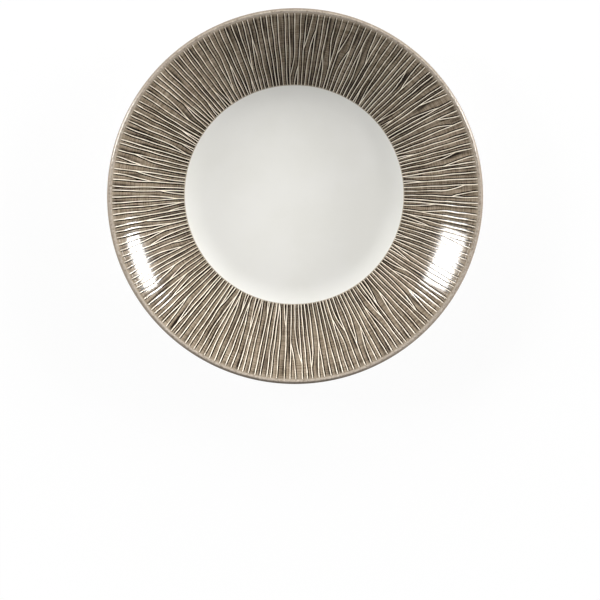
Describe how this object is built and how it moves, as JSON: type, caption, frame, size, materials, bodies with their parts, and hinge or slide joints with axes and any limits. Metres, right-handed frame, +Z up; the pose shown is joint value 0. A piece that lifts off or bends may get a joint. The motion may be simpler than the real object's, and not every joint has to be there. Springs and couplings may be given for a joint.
{
  "type": "deep coupe plate",
  "caption": "Round deep coupe plate on a foot ring, with a flat white well, a flared wall with taupe radial reeding and a plain rounded lip.",
  "frame": {"origin": "on the table under the plate's centre, in the plane of the foot ring's underside", "axes": "+Z up along the plate's axis of turning; X and Y are alike, because the plate is round"},
  "size_m": [0.255, 0.255, 0.0368],
  "materials": {
    "bare_clay": "dry matt bare clay on the foot ring",
    "white_glaze": "glossy warm white glaze",
    "taupe_glaze": "glossy taupe glaze, pale on the ribs and dark in the grooves"
  },
  "bodies": {
    "root": {"plate_body": "bare_clay", "well_glaze": "white_glaze", "reeded_band": "taupe_glaze", "lip_band": "taupe_glaze", "outer_glaze": "white_glaze", "base_glaze": "white_glaze"}
  },
  "joints": []
}
